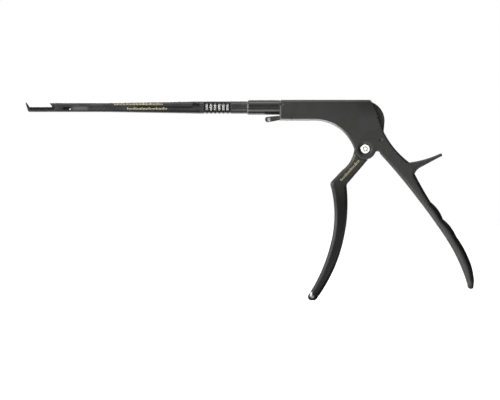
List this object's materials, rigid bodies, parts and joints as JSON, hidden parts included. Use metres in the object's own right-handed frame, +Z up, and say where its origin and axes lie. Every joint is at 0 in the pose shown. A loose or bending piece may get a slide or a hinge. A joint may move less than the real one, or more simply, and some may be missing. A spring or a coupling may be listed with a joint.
{
  "type": "bone rongeur",
  "caption": "Take-apart bone punch with a long sliding shaft, an upturned foot plate, a pistol handle with a squeezed front lever and a thumb spur.",
  "frame": {"origin": "centre of the barrel's front face, on the shaft's axis", "axes": "+X along the shaft from the tip towards the handle, +Z up from the grip to the shaft, Y across the handle's thickness"},
  "size_m": [0.3115, 0.0121, 0.1392],
  "materials": {
    "coated_handle": "satin black coating on steel, worn bright on a few edges",
    "coated_shaft": "satin black coating on steel, a little more purple than the handle",
    "dark_pins": "blackened steel pins",
    "bright_steel": "bare turned stainless steel",
    "spring_steel": "drawn spring wire",
    "bronze": "plain bearing bronze"
  },
  "bodies": {
    "handle": {"handle_frame": "coated_handle", "barrel_sleeve": "coated_handle", "barrel_pins": "dark_pins", "lower_shaft": "coated_shaft", "foot_plate": "coated_shaft", "pivot_screw": "bright_steel", "pivot_nut": "bright_steel", "open_stop_pin": "dark_pins", "spring_plug": "bright_steel", "return_spring": "spring_steel", "release_pin": "dark_pins", "release_spring": "spring_steel"},
    "slider": {"upper_slider": "coated_shaft", "slider_pin": "dark_pins", "drive_block": "bright_steel", "coupling_pin": "bright_steel", "spring_washer": "bright_steel"},
    "trigger": {"trigger_lever": "coated_handle", "drive_pin": "bright_steel", "pivot_bush": "bronze"},
    "release": {"release_lever": "coated_handle"}
  },
  "joints": [
    {"name": "trigger_squeeze", "type": "hinge", "parent": "handle", "child": "trigger", "pos_m": [0.0817, 0, -0.0289], "axis": [0, -1, 0], "range_deg": [0, 32.6], "stiffness_Nm_per_rad": 1, "springref_deg": -20.05},
    {"name": "slider_slide", "type": "slide", "parent": "handle", "child": "slider", "axis": [-1, 0, 0], "range_m": [0, 0.0158], "deforming": ["return_spring"]},
    {"name": "release_press", "type": "hinge", "parent": "handle", "child": "release", "pos_m": [0.031, 0, -0.0073], "axis": [0, 1, 0], "range_deg": [0, 4], "stiffness_Nm_per_rad": 0.05, "springref_deg": -11.46, "deforming": ["release_spring"]}
  ],
  "couplings": [
    {"joint": "slider_slide", "follows": "trigger_squeeze", "m_per_rad": 0.02776}
  ]
}
